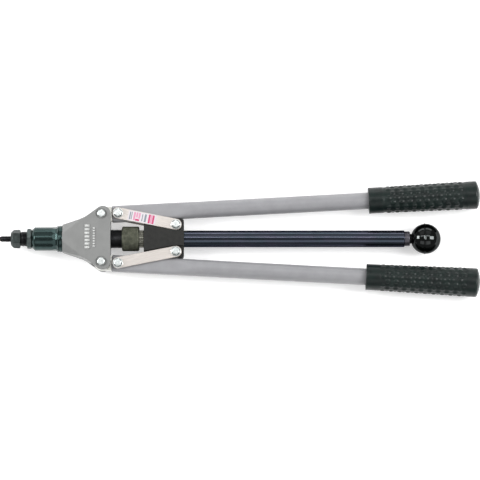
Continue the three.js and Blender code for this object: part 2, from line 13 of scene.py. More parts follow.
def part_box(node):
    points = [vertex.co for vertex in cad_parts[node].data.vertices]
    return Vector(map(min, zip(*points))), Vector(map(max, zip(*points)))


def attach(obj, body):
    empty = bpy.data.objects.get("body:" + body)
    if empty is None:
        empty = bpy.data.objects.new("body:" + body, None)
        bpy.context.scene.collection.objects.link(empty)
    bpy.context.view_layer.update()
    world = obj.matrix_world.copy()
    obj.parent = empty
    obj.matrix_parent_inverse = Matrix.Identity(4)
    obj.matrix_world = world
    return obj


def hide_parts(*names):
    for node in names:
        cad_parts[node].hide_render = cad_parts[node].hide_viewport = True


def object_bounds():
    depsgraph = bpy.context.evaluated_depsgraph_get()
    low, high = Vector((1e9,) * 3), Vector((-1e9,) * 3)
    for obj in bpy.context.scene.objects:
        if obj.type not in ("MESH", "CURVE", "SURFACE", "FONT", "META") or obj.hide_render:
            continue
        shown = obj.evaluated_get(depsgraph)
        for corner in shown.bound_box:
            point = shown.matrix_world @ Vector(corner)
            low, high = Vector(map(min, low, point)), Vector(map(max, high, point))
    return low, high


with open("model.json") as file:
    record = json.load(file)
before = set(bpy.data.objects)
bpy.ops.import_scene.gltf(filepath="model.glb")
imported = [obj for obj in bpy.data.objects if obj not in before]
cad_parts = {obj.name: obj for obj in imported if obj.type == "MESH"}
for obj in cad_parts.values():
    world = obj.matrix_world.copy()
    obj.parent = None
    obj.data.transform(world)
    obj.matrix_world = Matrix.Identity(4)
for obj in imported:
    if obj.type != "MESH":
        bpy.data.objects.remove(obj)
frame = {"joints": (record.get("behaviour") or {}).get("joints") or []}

CAD_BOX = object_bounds()
MM = 0.001
UP, DOWN = 1, -1
SIDES = (("upper", UP), ("lower", DOWN))


# ---- places, all read from the frame ----
def joint(name):
    return next(j for j in frame["joints"] if j["name"] == name)


def span(node):
    """A node's box in millimetres: lowest corner, highest corner."""
    low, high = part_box(node)
    return Vector(low) / MM, Vector(high) / MM


PIVOT = Vector(joint("upper_arm_pivot")["pos_m"]) / MM
ARM_PIN = Vector(joint("upper_link_pivot")["pos_m"]) / MM
AXIS_Z = PIVOT.z
SPLAY = math.atan2(ARM_PIN.y - PIVOT.y, ARM_PIN.x - PIVOT.x)
BOLT_LOW, BOLT_HIGH = span("upper_crosshead_link_bolt")
CROSS_PIN = Vector(((BOLT_LOW.x + BOLT_HIGH.x) / 2, (BOLT_LOW.y + BOLT_HIGH.y) / 2, AXIS_Z))
LINK_ANGLE = math.atan2(CROSS_PIN.y - ARM_PIN.y, CROSS_PIN.x - ARM_PIN.x)
LINK_LENGTH = math.hypot(CROSS_PIN.x - ARM_PIN.x, CROSS_PIN.y - ARM_PIN.y)

TO_METRES = Matrix.Scale(MM, 4)
TOOL = TO_METRES @ Matrix.Translation((0, 0, AXIS_Z))


def along_arm(side):
    """Local X from the pivot along the arm."""
    turn = Matrix.Rotation(SPLAY * side, 4, "Z")
    return TO_METRES @ Matrix.Translation((PIVOT.x, PIVOT.y * side, AXIS_Z)) @ turn


def along_link(side):
    """Local X from the arm's link bolt towards the crosshead's."""
    turn = Matrix.Rotation(LINK_ANGLE * side, 4, "Z")
    return TO_METRES @ Matrix.Translation((ARM_PIN.x, ARM_PIN.y * side, AXIS_Z)) @ turn


def upright(x, y):
    """Local origin on the tool's axis height at x, y, with local Z up."""
    return TO_METRES @ Matrix.Translation((x, y, AXIS_Z))


def link(made):
    bpy.context.scene.collection.objects.link(made)


# ---- camera ----
CAMERA_TILT = math.radians(8)      # the camera leans this far towards the lower arm
CAMERA_ROLL = math.radians(-0.03)  # about the line of sight
CAMERA_DISTANCE = 4.0
VIEW_WIDTH = 0.5568                # width of the view at the tool's distance
AIM_BELOW_AXIS = 0.0013
AIM_REARWARD = 0.0004

low, high = CAD_BOX
camera_data = bpy.data.cameras.new("camera")
camera = bpy.data.objects.new("camera", camera_data)
link(camera)
bpy.context.scene.camera = camera
camera_data.sensor_width = 36
camera_data.lens = 36 * CAMERA_DISTANCE / VIEW_WIDTH
aim = Vector(((low.x + high.x) / 2 + AIM_REARWARD, -AIM_BELOW_AXIS, AXIS_Z * MM))
back = Vector((0, -math.sin(CAMERA_TILT), math.cos(CAMERA_TILT)))
camera.location = aim + back * CAMERA_DISTANCE
camera.rotation_euler = (CAMERA_TILT, 0, CAMERA_ROLL)
camera_data.clip_end = 50


# ---- materials ----
def linear(rgb):
    """sRGB 0 to 255 to a linear colour."""
    def one(v):
        v /= 255
        return v / 12.92 if v <= 0.04045 else ((v + 0.055) / 1.055) ** 2.4
    return tuple(one(v) for v in rgb) + (1.0,)


class Shader:
    """A material under construction: short calls for the nodes that the finishes share."""

    def __init__(self, name, metallic, coat=0.0, coat_roughness=0.1, specular=0.5, edge_tint=1.0):
        self.material = bpy.data.materials.new(name)
        self.material.use_nodes = True
        self.tree = self.material.node_tree
        self.surface = self.tree.nodes["Principled BSDF"]
        inputs = self.surface.inputs
        inputs["Metallic"].default_value = metallic
        inputs["Coat Weight"].default_value = coat
        inputs["Coat Roughness"].default_value = coat_roughness
        inputs["Specular IOR Level"].default_value = specular
        inputs["Specular Tint"].default_value = (edge_tint, edge_tint, edge_tint, 1)
        self.place = self.node("ShaderNodeTexCoord").outputs["Object"]
        self.height = None

    def node(self, kind, **settings):
        made = self.tree.nodes.new(kind)
        for key, value in settings.items():
            setattr(made, key, value)
        return made

    def feed(self, socket, value):
        if isinstance(value, bpy.types.NodeSocket):
            self.tree.links.new(value, socket)
        else:
            socket.default_value = value

    def math(self, operation, a, b=0.5):
        made = self.node("ShaderNodeMath", operation=operation)
        self.feed(made.inputs[0], a)
        self.feed(made.inputs[1], b)
        return made.outputs[0]

    def stretched(self, turn, factors):
        """Coordinates turned about Z and scaled per axis, for grain that runs one way."""
        made = self.node("ShaderNodeMapping")
        self.feed(made.inputs["Vector"], self.place)
        made.inputs["Rotation"].default_value = (0, 0, -turn)
        squeezed = self.node("ShaderNodeMapping")
        self.feed(squeezed.inputs["Vector"], made.outputs[0])
        squeezed.inputs["Scale"].default_value = factors
        return squeezed.outputs[0]

    def noise(self, size_mm, detail=3, rough=0.55, vector=None):
        """Noise from 0 to 1 whose blotches are about size_mm across."""
        made = self.node("ShaderNodeTexNoise")
        self.feed(made.inputs["Vector"], vector or self.place)
        made.inputs["Scale"].default_value = 1000 / size_mm
        made.inputs["Detail"].default_value = detail
        made.inputs["Roughness"].default_value = rough
        return made.outputs["Fac"]

    def range(self, value, low=0.3, high=0.7, to_low=0.0, to_high=1.0):
        """The value spread smoothly from low..high to to_low..to_high."""
        made = self.node("ShaderNodeMapRange", interpolation_type="SMOOTHSTEP")
        for socket, number in zip(list(made.inputs)[:5], (value, low, high, to_low, to_high)):
            self.feed(socket, number)
        return made.outputs[0]

    def mix(self, factor, a, b):
        made = self.node("ShaderNodeMix", data_type="RGBA")
        self.feed(made.inputs[0], factor)
        self.feed(made.inputs[6], a)
        self.feed(made.inputs[7], b)
        return made.outputs[2]

    def edges(self, low=0.52, high=0.62):
        """1 on outward edges, 0 on flats."""
        made = self.node("ShaderNodeNewGeometry")
        return self.range(made.outputs["Pointiness"], low, high, 0.0, 1.0)

    def hollows(self, low, high):
        """1 in inward corners, 0 on flats."""
        made = self.node("ShaderNodeNewGeometry")
        return self.range(made.outputs["Pointiness"], low, high, 1.0, 0.0)

    def color(self, value):
        self.feed(self.surface.inputs["Base Color"], value)

    def roughness(self, value):
        self.feed(self.surface.inputs["Roughness"], value)

    def bump(self, height, distance_mm):
        made = self.node("ShaderNodeBump")
        made.inputs["Strength"].default_value = 1.0
        made.inputs["Distance"].default_value = distance_mm * MM
        self.feed(made.inputs["Height"], height)
        if self.height:
            self.feed(made.inputs["Normal"], self.height)
        self.height = made.outputs[0]
        self.feed(self.surface.inputs["Normal"], self.height)


def paint(name, rgb, gloss):
    s = Shader(name, 0.0, coat=0.25, coat_roughness=0.3)
    cloud = s.noise(14, 4)
    tint = s.mix(s.range(cloud), linear([v * 0.955 for v in rgb]), linear(rgb))
    speck = s.range(s.noise(0.9, 2), 0.66, 0.74, 0.0, 0.35)
    tint = s.mix(speck, tint, linear([v * 0.86 for v in rgb]))
    worn = s.math("MULTIPLY", s.edges(0.56, 0.70), s.range(s.noise(2.2, 3), 0.5, 0.66, 0.0, 0.55))
    s.color(s.mix(worn, tint, linear((196, 196, 194))))
    s.roughness(s.range(s.noise(5, 3), 0.3, 0.7, gloss - 0.05, gloss + 0.06))
    s.bump(s.noise(1.3, 2), 0.035)
    return s.material


def dark_metal(name, rgb, gloss, edge_rgb, metallic=0.75, grain_mm=0.8, mottle=0.16, relief_mm=0.012):
    s = Shader(name, metallic, coat=0.08, coat_roughness=0.25)
    cloud = s.range(s.noise(5, 4), 0.3, 0.72, 0.0, 1.0)
    tint = s.mix(cloud, linear([v * (1 - mottle) for v in rgb]), linear([v * (1 + mottle) for v in rgb]))
    worn = s.math("MULTIPLY", s.edges(0.53, 0.66), s.range(s.noise(1.6, 3), 0.35, 0.65, 0.15, 0.8))
    s.color(s.mix(worn, tint, linear(edge_rgb)))
    s.roughness(s.range(s.noise(2.4, 4), 0.3, 0.7, gloss - 0.04, gloss + 0.05))
    s.bump(s.noise(grain_mm, 3), relief_mm)
    return s.material


def turned_steel(name, rgb, gloss, metallic=0.9):
    """Lathe-turned: very fine rings round X."""
    s = Shader(name, metallic)
    rings = s.noise(0.5, 2, vector=s.stretched(0, (1, 0.02, 0.02)))
    tint = s.mix(s.range(rings), linear([v * 0.86 for v in rgb]), linear(rgb))
    s.color(s.mix(s.math("MULTIPLY", s.edges(), 0.5), tint, linear([min(255, v * 1.5) for v in rgb])))
    s.roughness(s.range(s.noise(3, 3), 0.3, 0.7, gloss - 0.05, gloss + 0.07))
    s.bump(rings, 0.01)
    return s.material


def ground_steel(name, rgb, turn, gloss):
    """Flat bar with its grinding grain along the bar."""
    s = Shader(name, 0.85)
    grain = s.noise(0.55, 3, 0.65, s.stretched(turn, (0.035, 1, 1)))
    wide = s.noise(2.8, 3, 0.6, s.stretched(turn, (0.12, 1, 1)))
    tint = s.mix(s.range(grain), linear([v * 0.90 for v in rgb]), linear(rgb))
    tint = s.mix(s.range(wide, 0.35, 0.7, 0.0, 0.5), tint, linear([v * 0.93 for v in rgb]))
    s.color(tint)
    s.roughness(s.range(wide, 0.3, 0.7, gloss - 0.04, gloss + 0.08))
    s.bump(grain, 0.012)
    return s.material


def zinc(name):
    s = Shader(name, 0.95)
    cloud = s.noise(1.6, 3)
    tint = s.mix(s.range(cloud), linear((214, 220, 219)), linear((236, 240, 239)))
    # inward corners, such as round the foot of a bolt head, are darkened as painted shade
    s.color(s.mix(s.math("MULTIPLY", s.hollows(0.42, 0.49), 0.75), tint, linear((84, 90, 88))))
    s.roughness(s.range(cloud, 0.3, 0.7, 0.3, 0.4))
    s.bump(s.noise(0.5, 2), 0.004)
    return s.material


def blued(name):
    s = Shader(name, 0.95, edge_tint=0.12)
    streak = s.noise(2.5, 3, 0.6, s.stretched(0, (0.03, 1, 1)))
    cloud = s.noise(26, 3)
    tint = s.mix(s.range(streak), linear((64, 70, 82)), linear((88, 88, 102)))
    tint = s.mix(s.range(cloud, 0.35, 0.65, 0.0, 0.5), tint, linear((62, 76, 82)))
    s.color(tint)
    s.roughness(s.range(s.noise(1.2, 3, 0.6, s.stretched(0, (0.05, 1, 1))), 0.3, 0.7, 0.12, 0.19))
    s.bump(s.noise(0.7, 2, 0.5, s.stretched(0, (0.05, 1, 1))), 0.006)
    return s.material


def rubber(name):
    s = Shader(name, 0.0, specular=0.36)
    cloud = s.range(s.noise(9, 4))
    tint = s.mix(cloud, linear((3, 14, 13)), linear((9, 26, 23)))
    # the domes' edges are painted lighter as painted highlight, and the crevices between the domes near black
    # as painted shade
    tint = s.mix(s.math("MULTIPLY", s.edges(0.51, 0.58), 0.6), tint, linear((54, 68, 64)))
    tint = s.mix(s.math("MULTIPLY", s.hollows(0.42, 0.495), 0.85), tint, linear((2, 4, 4)))
    s.color(tint)
    s.roughness(s.range(s.noise(3, 4), 0.3, 0.7, 0.32, 0.46))
    s.bump(s.noise(0.45, 3), 0.02)
    return s.material


def phenolic(name):
    s = Shader(name, 1.0, edge_tint=0.55)
    s.color(s.mix(s.range(s.noise(6, 3)), linear((50, 52, 52)), linear((56, 58, 58))))
    s.roughness(s.range(s.noise(2, 4), 0.35, 0.75, 0.05, 0.09))
    s.bump(s.noise(3.5, 2), 0.01)
    return s.material


def bronze(name):
    s = Shader(name, 0.9)
    s.color(s.mix(s.noise(1.5, 3), linear((140, 104, 60)), linear((186, 150, 92))))
    s.roughness(s.range(s.noise(1, 3), 0.3, 0.7, 0.28, 0.42))
    return s.material


PAINT_HEAD = paint("head_paint", (128, 129, 128), 0.5)
PAINT_RUBBED = paint("rubbed_paint", (196, 198, 196), 0.4)
PAINT_ARM = paint("arm_paint", (144, 144, 147), 0.44)
BLACKENED = dark_metal("blackened_steel", (50, 66, 65), 0.22, (112, 130, 127), 0.9, 0.5, 0.05, 0.003)
NOSE_STEEL = dark_metal("nose_steel", (78, 86, 85), 0.42, (132, 140, 138))
TIP_STEEL = dark_metal("tip_steel", (52, 59, 58), 0.4, (96, 104, 102))
# painted shade for the corner at the foot of the link bolts' hexagon heads
BOLT_FOOT_SHADE = dark_metal("bolt_foot_painted_shade", (92, 97, 95), 0.5, (84, 88, 86), 0.4)
BLACK_OXIDE = dark_metal("black_steel", (24, 25, 27), 0.42, (78, 80, 84))
PHOSPHATE = dark_metal("phosphated_steel", (29, 29, 27), 0.6, (58, 58, 54), 0.3, 0.5)
KNURL_STEEL = dark_metal("knurled_steel", (84, 86, 74), 0.42, (150, 152, 138), 0.8)
NECK_STEEL = dark_metal("neck_steel", (138, 138, 128), 0.3, (200, 200, 190), 0.85)
COLLAR_STEEL = turned_steel("collar_steel", (98, 96, 103), 0.36)
ROD_STEEL = turned_steel("rod_steel", (190, 190, 188), 0.25)
ZINC = zinc("zinc_plate")
EYE_STEEL = ground_steel("eye_steel", (222, 222, 216), 0, 0.34)
LINK_STEEL = {
    side: ground_steel(f"link_steel_{name}", (228, 221, 215), LINK_ANGLE * side, 0.36)
    for name, side in SIDES
}
BLUED = blued("blued_steel")
RUBBER = rubber("grip_rubber")
PHENOLIC = phenolic("phenolic")
BRONZE = bronze("bronze")


# ---- mesh building ----
def object_from(name, points, faces, merge):
    """An object from points and faces, with doubled points merged and normals outward."""
    mesh = bpy.data.meshes.new(name)
    mesh.from_pydata(points, [], faces)
    tidy = bmesh.new()
    tidy.from_mesh(mesh)
    bmesh.ops.remove_doubles(tidy, verts=tidy.verts, dist=merge)
    bmesh.ops.recalc_face_normals(tidy, faces=tidy.faces)
    tidy.to_mesh(mesh)
    tidy.free()
    made = bpy.data.objects.new(name, mesh)
    link(made)
    return made


def piece(name, mesh_data, place, body, material, replaces=(), weighted=True):
    """A visible piece from (vertices, faces) in local millimetres."""
    vertices, faces = mesh_data
    made = object_from(name, [place @ Vector(v) for v in vertices], faces, 1e-6)
    mesh = made.data
    mesh.materials.append(material)
    mesh.polygons.foreach_set("use_smooth", [True] * len(mesh.polygons))
    if weighted:
        normals = made.modifiers.new("normals", "WEIGHTED_NORMAL")
        normals.keep_sharp = True
        normals.weight = 60
    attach(made, body)
    if replaces:
        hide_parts(*replaces)
    return made


def part(node, mesh_data, place, body, material, weighted=True):
    """A piece that stands for the CAD node of its own name."""
    return piece(node, mesh_data, place, body, material, [node], weighted)


def soften(points, radius, steps=3, closed=False):
    """Rounds a polyline's corners."""
    points = [Vector(p).to_2d() for p in points]
    count = len(points)
    out = []
    for i, corner in enumerate(points):
        if not closed and i in (0, count - 1):
            out.append(tuple(corner))
            continue
        before, after = points[i - 1] - corner, points[(i + 1) % count] - corner
        reach = min(radius, before.length * 0.45, after.length * 0.45)
        start, end = corner + before.normalized() * reach, corner + after.normalized() * reach
        for k in range(steps + 1):
            t = k / steps
            spot = start * (1 - t) ** 2 + corner * 2 * t * (1 - t) + end * t * t
            out.append(tuple(spot))
    return out


def refine(profile, step, first, last):
    """Splits the profile's long runs between x = first and x = last, both ways along X."""
    out = [profile[0]]
    for (xa, ra), (xb, rb) in zip(profile, profile[1:]):
        middle = (xa + xb) / 2
        length = math.hypot(xb - xa, rb - ra)
        count = max(1, round(length / step)) if first <= middle <= last else 1
        if count == 1 and length > step and min(xa, xb) < last and max(xa, xb) > first:
            count = max(1, round(length / step))
        for k in range(1, count + 1):
            t = k / count
            out.append((xa + (xb - xa) * t, ra + (rb - ra) * t))
    return out


def turned(profile, segments, shape=None, closed=False):
    """A mesh turned about X. shape(x, turn, r) may bend the radius. A closed profile makes a ring."""
    vertices, faces, rows = [], [], []
    for x, r in profile:
        if r < 1e-6 and not closed:
            rows.append([len(vertices)])
            vertices.append((x, 0, 0))
            continue
        row = []
        for k in range(segments):
            turn = 2 * math.pi * k / segments
            bent = shape(x, turn, r) if shape else r
            row.append(len(vertices))
            vertices.append((x, bent * math.sin(turn), bent * math.cos(turn)))
        rows.append(row)
    pairs = list(zip(rows, rows[1:])) + ([(rows[-1], rows[0])] if closed else [])
    for a, b in pairs:
        for k in range(segments):
            n = (k + 1) % segments
            corners = [a[k % len(a)], a[n % len(a)], b[n % len(b)], b[k % len(b)]]
            face = list(dict.fromkeys(corners))
            if len(face) > 2:
                faces.append(face)
    if not closed:
        for row in (rows[0], rows[-1]):
            if len(row) > 2:
                faces.append(row)
    return vertices, faces


def ring(outline, radius, steps, segments, shape=None, fine=None):
    """A ring turned about X. fine = (step, first, last) splits its long runs for the shape rule."""
    loop = soften(outline, radius, steps, True)
    if fine:
        loop = refine(loop + [loop[0]], *fine)[:-1]
    return turned(loop, segments, shape, True)


def solid_profile(points, radius):
    """An outline from the axis out and back to the axis, with softened corners."""
    ends = [(points[0][0], 0)] + list(points) + [(points[-1][0], 0)]
    return soften(ends, radius)


def saw(value):
    """Triangle wave from 0 to 1 with period 1."""
    value %= 1
    return 1 - abs(2 * value - 1)


def step01(value):
    """0 to 1 along a smooth step as the value goes from 0 to 1."""
    value = min(1, max(0, value))
    return value * value * (3 - 2 * value)


def thread(first, last, pitch, outer, depth):
    """A radius rule that cuts a V thread from x = first to x = last; depth is in pitches."""
    def shape(x, turn, r):
        if r < outer - 0.05:
            return r
        fade = step01((x - first) / pitch) * step01((last - x) / pitch)
        wave = saw(x / pitch + turn / (2 * math.pi))
        return r - depth * pitch * fade * min(1, max(0, wave * 1.25 - 0.1))
    return shape


def slab(outline, holes, z0, z1, bevel):
    """(vertices, faces) of a flat piece with rounded edges, cut from an outline with holes."""
    data = bpy.data.curves.new("slab", "CURVE")
    data.dimensions = "2D"
    data.fill_mode = "BOTH"
    data.extrude = (z1 - z0) / 2 - bevel
    data.bevel_depth = bevel
    data.bevel_resolution = 2
    data.offset = -bevel
    for loop in [outline, *holes]:
        spline = data.splines.new("POLY")
        spline.points.add(len(loop) - 1)
        for point, (x, y) in zip(spline.points, loop):
            point.co = (x, y, 0, 1)
        spline.use_cyclic_u = True
    holder = bpy.data.objects.new("slab", data)
    link(holder)
    bpy.context.view_layer.update()
    mesh = bpy.data.meshes.new_from_object(holder.evaluated_get(bpy.context.evaluated_depsgraph_get()))
    middle = (z0 + z1) / 2
    vertices = [(v.co.x, v.co.y, v.co.z + middle) for v in mesh.vertices]
    faces = [list(p.vertices) for p in mesh.polygons]
    bpy.data.objects.remove(holder)
    bpy.data.curves.remove(data)
    bpy.data.meshes.remove(mesh)
    return vertices, faces


def arc(cx, cy, r, start, end, steps=24):
    """Points of an arc, angles in degrees."""
    turns = [math.radians(start + (end - start) * k / steps) for k in range(steps + 1)]
    return [(cx + r * math.cos(t), cy + r * math.sin(t)) for t in turns]


def circle(cx, cy, r, steps=40):
    return arc(cx, cy, r, 360, 0, steps)[:-1]


def raw(name, mesh_data):
    """A working object for modifiers, in millimetres; it is no piece."""
    return object_from(name, [Vector(v) for v in mesh_data[0]], mesh_data[1], 1e-5)


def baked(made):
    """The object's (vertices, faces) with its modifiers, and the object is gone."""
    bpy.context.view_layer.update()
    mesh = bpy.data.meshes.new_from_object(made.evaluated_get(bpy.context.evaluated_depsgraph_get()))
    out = [tuple(v.co) for v in mesh.vertices], [list(p.vertices) for p in mesh.polygons]
    bpy.data.objects.remove(made)
    bpy.data.meshes.remove(mesh)
    return out


def combine(base, others, operation):
    """Boolean of (vertices, faces) lists; operation is UNION or DIFFERENCE."""
    body = raw("body", base)
    tools = [raw("tool", other) for other in others]
    for tool in tools:
        change = body.modifiers.new("change", "BOOLEAN")
        change.operation = operation
        change.solver = "EXACT"
        change.object = tool
    out = baked(body)
    for tool in tools:
        bpy.data.objects.remove(tool)
    return out


def cast_skin(mesh_data, voxel, smoothing):
    """Even mesh with naturally rounded edges, as on a casting."""
    body = raw("cast", mesh_data)
    remesh = body.modifiers.new("remesh", "REMESH")
    remesh.mode = "VOXEL"
    remesh.voxel_size = voxel
    smooth = body.modifiers.new("smooth", "SMOOTH")
    smooth.factor = 0.5
    smooth.iterations = smoothing
    return baked(body)


def box_mesh(x0, x1, y0, y1, z0, z1):
    v = [(x, y, z) for x in (x0, x1) for y in (y0, y1) for z in (z0, z1)]
    f = [[0, 1, 3, 2], [4, 6, 7, 5], [0, 4, 5, 1], [2, 3, 7, 6], [0, 2, 6, 4], [1, 5, 7, 3]]
    return v, f


def prism(outline, z0, z1):
    count = len(outline)
    v = [(x, y, z0) for x, y in outline] + [(x, y, z1) for x, y in outline]
    f = [list(range(count))[::-1], [count + i for i in range(count)]]
    f += [[i, (i + 1) % count, count + (i + 1) % count, count + i] for i in range(count)]
    return v, f


def hex_radius(turn, flats):
    sector = math.pi / 3
    return flats / 2 / math.cos((turn % sector) - sector / 2)


def hex_solid(low, high, flats, turn0=0.0, chamfer_low=False, bore=0.0, rim_part=0.93, segments=72):
    """A hexagon bar about Z whose ends have the cone-cut corners of a real bolt head or nut."""
    slope = math.tan(math.radians(30))
    rim = flats / 2 * rim_part
    edge = 0.12
    inner = bore if bore else rim * 0.35
    vertices, faces, rows = [], [], []

    def cone(turn, level, sign, cut):
        r = hex_radius(turn - turn0, flats)
        drop = max(0, r - rim) * slope + edge if cut else edge
        return r, level - sign * drop

    def row(rule, wider=0.0, higher=0.0):
        made = []
        for k in range(segments):
            turn = 2 * math.pi * k / segments
            r, z = rule(turn)
            r += wider
            made.append(len(vertices))
            vertices.append((r * math.cos(turn), r * math.sin(turn), z + higher))
        rows.append(made)

    def level_row(r, z):
        row(lambda turn: (r, z))

    def foot(turn):
        return cone(turn, low, -1, chamfer_low)

    def crown(turn):
        return cone(turn, high, 1, True)

    level_row(inner, low)
    level_row(rim - 0.25, low)
    row(foot if chamfer_low else lambda turn: (foot(turn)[0] - edge, low))
    row(foot, higher=edge)
    row(crown, higher=-edge)
    row(crown, wider=-0.1)
    level_row(rim - 0.05, high - 0.03)
    level_row(rim - 0.45, high)
    if bore:
        level_row(inner + 0.35, high)
        level_row(inner, high - 0.35)
    else:
        level_row(inner, high)
    pairs = list(zip(rows, rows[1:])) + ([(rows[-1], rows[0])] if bore else [])
    for a, b in pairs:
        faces += [[a[k], a[(k + 1) % segments], b[(k + 1) % segments], b[k]] for k in range(segments)]
    if not bore:
        faces += [rows[0][::-1], rows[-1]]
    return vertices, faces


def nut_below(node, flats, bore):
    """A hexagon nut about Z whose cone-cut end faces down, as high as its node."""
    low, high = span(node)
    vertices, faces = hex_solid(low.z - AXIS_Z, high.z - AXIS_Z, flats, math.pi / 6, True, bore=bore)
    return [(x, -y, low.z + high.z - 2 * AXIS_Z - z) for x, y, z in vertices], faces


def stood_up(mesh_data):
    """What was built about X, now about Z."""
    vertices, faces = mesh_data
    return [(y, z, x) for x, y, z in vertices], faces


def rod_z(low, high, r, chamfer=0.4):
    """A round bar about Z with chamfered ends."""
    points = [(low, r - chamfer), (low + chamfer, r), (high - chamfer, r), (high, r - chamfer)]
    return stood_up(turned(solid_profile(points, 0.1), 40))


def joined(*parts):
    vertices, faces = [], []
    for v, f in parts:
        start = len(vertices)
        vertices += v
        faces += [[i + start for i in face] for face in f]
    return vertices, faces


# ---- nose ----
def build_nosepiece():
    low, high = span("nosepiece")
    x0, x1 = low.x, high.x
    flats = high.z - low.z
    corner = flats / math.sqrt(3)
    bore, face, socket = 3.8, 7.5, 6.6

    def hexed(x, turn, r):
        if r < face - 1:
            return r
        return min(r, hex_radius(turn - math.pi / 6, flats))

    outline = [(x0, bore), (x0, face), (x0 + 3.5, corner - 0.2), (x1 - 0.8, corner)]
    outline += [(x1, corner - 0.8), (x1, socket), (x0 + 6, socket), (x0 + 6, bore)]
    data = ring(outline, 0.3, 3, 144, hexed, (0.5, x0 + 0.3, x1))
    part("nosepiece", data, TOOL, "head", TIP_STEEL)


def build_nose():
    build_nosepiece()
    low, high = span("nose_sleeve")
    r = (high.y - low.y) / 2
    neck, bore, spigot, socket = r - 0.7, 3.85, 6.2, 6.4
    first, last = span("nosepiece")[1].x + 0.3, high.x
    bottom = last - 23.5
    outline = [(low.x, bore), (low.x, spigot), (first, spigot), (first, neck), (first + 1.8, neck)]
    outline += [(first + 2.4, r), (last, r), (last, socket), (bottom, socket), (bottom, bore)]
    rule = thread(first + 2.0, first + 22, 1.5, r, 0.5)
    data = ring(outline, 0.2, 2, 64, rule, (0.19, first + 2, first + 13))
    part("nose_sleeve", data, TOOL, "head", BLACK_OXIDE, False)

    low, high = span("lock_nut")
    vertices, faces = hex_solid(low.x, high.x, high.y - low.y, 0.0, True, 9.05, 0.985, 144)
    data = [(z, y, -x) for x, y, z in vertices], faces
    part("lock_nut", data, TOOL, "head", NOSE_STEEL)


def build_barrel():
    low, high = span("barrel")
    ring_low, ring_high = span("barrel_lock_ring")
    x0, x1 = low.x, high.x
    r, flare_r = 13.65, (high.y - low.y) / 2
    rear = ring_low.x - 0.3
    flare_from, flare_to = rear - 4.4, rear - 0.9
    scallops, deepest, phase = 12, 0.5, 1 / 6
    middle = rear - 4.3

    def scalloped(x, turn, radius):
        """Flats milled round the foot of the flare, long towards the nose and short towards the rim."""
        if radius < r - 3:
            return radius
        offset = ((turn * scallops / (2 * math.pi) - phase + 0.5) % 1 - 0.5) * 2 * math.pi / scallops
        cutter = 10.0 if x < middle else 3.3
        floor = r - deepest + (x - middle) ** 2 / (2 * cutter)
        return min(radius, floor / math.cos(offset))

    bore, rear_bore, thread_r = 9.15, 6.6, 11.8
    outline = [(x0, bore), (x0, r - 3.2), (x0 + 3.2, r - 0.25), (x0 + 4.2, r), (flare_from, r)]
    outline += [(flare_to, flare_r), (rear, flare_r), (rear, thread_r), (x1, thread_r)]
    outline += [(x1, rear_bore), (x1 - 33, rear_bore), (x1 - 33, bore)]
    data = ring(outline, 0.5, 4, 288, scalloped, (0.3, middle - 3.6, rear))
    part("barrel", data, TOOL, "head", BLACKENED)

    r = (ring_high.y - ring_low.y) / 2
    outline = [(ring_low.x, 12.0), (ring_low.x, r - 0.5), (ring_low.x + 0.5, r), (ring_high.x - 0.5, r)]
    outline += [(ring_high.x, r - 0.5), (ring_high.x, 12.0)]
    part("barrel_lock_ring", ring(outline, 0.3, 3, 128), TOOL, "head", BLACKENED)


# ---- head ----
# Each row of blocks: x, size along X, middle in Y, count, pitch, size along Y.
RELIEF_ROWS = ((-176.2, 5.8, 0.9, 7, 4.2, 2.9), (-168.3, 2.8, 0.2, 8, 3.0, 1.8))


def head_outline(front, rear, front_y, waist, lobe_r):
    lobe_x = rear - lobe_r
    dx, dy = lobe_x - waist[0], PIVOT.y - waist[1]
    start = math.degrees(math.atan2(dy, dx) + math.pi - math.acos(lobe_r / math.hypot(dx, dy)))
    top = [(rear, 0), (rear, PIVOT.y)] + arc(lobe_x, PIVOT.y, lobe_r, 0, start, 40)[1:]
    flank = soften([top[-1], waist, (front, front_y)], 6.0, 8)
    top += flank[1:]
    return [(x, -y) for x, y in top[::-1]] + top[1:]


def head_cuts(front, rear, front_y, waist, half_front, half):
    """What is cut from the head's prism: its tapered faces, slots, bolt cups, facets and bores."""
    side = [(front - 1, half_front), (front, half_front), (waist[0], half), (rear + 1, half)]
    side += [(rear + 1, half_front + 5), (front - 1, half_front + 5)]
    vertices, faces = prism(side, -60, 60)
    cuts = [([(x, y, z * way) for x, z, y in vertices], faces) for way in (1, -1)]
    slot_z = span("upper_arm_eye")[1].z - AXIS_Z + 0.35
    for y in (UP, DOWN):
        near, far = sorted((17.2 * y, (PIVOT.y + 20) * y))
        cuts.append(box_mesh(PIVOT.x - 11.7, rear + 3, near, far, -slot_z, slot_z))
        for level in (half + 4, -half - 4):
            vertices, faces = rod_z(level - 5, level + 5, 6.1, 0.05)
            cuts.append(([(a + PIVOT.x, b + PIVOT.y * y, c) for a, b, c in vertices], faces))
        for z in (1, -1):
            cuts.append(corner_wedge(front, waist, front_y, half_front, half, y, z))
    ahead, step, behind = front - 2, front + 14.4, rear + 2
    wide, narrow = 12.1, 11.4
    bores = [(ahead, 0), (ahead, wide), (step, wide), (step, narrow), (behind, narrow), (behind, 0)]
    cuts.append(turned(bores, 64))
    return cuts


def relief_blocks(level):
    """Rows of plain raised blocks, where such castings carry raised marks."""
    blocks = []
    for x, wide, middle, count, pitch, tall in RELIEF_ROWS:
        for k in range(count):
            y = middle + (k - (count - 1) / 2) * pitch
            x0, x1 = x - wide / 2, x + wide / 2
            y0, y1 = y - tall / 2, y + tall / 2
            blocks.append(box_mesh(x0, x1, y0, y1, level - 1, level + 0.7))
    return blocks


def repaint(made, material, chosen):
    """Gives a second material to the faces that chosen(middle in mm, normal) picks."""
    made.data.materials.append(material)
    for face in made.data.polygons:
        if chosen(face.center / MM, face.normal):
            face.material_index = 1


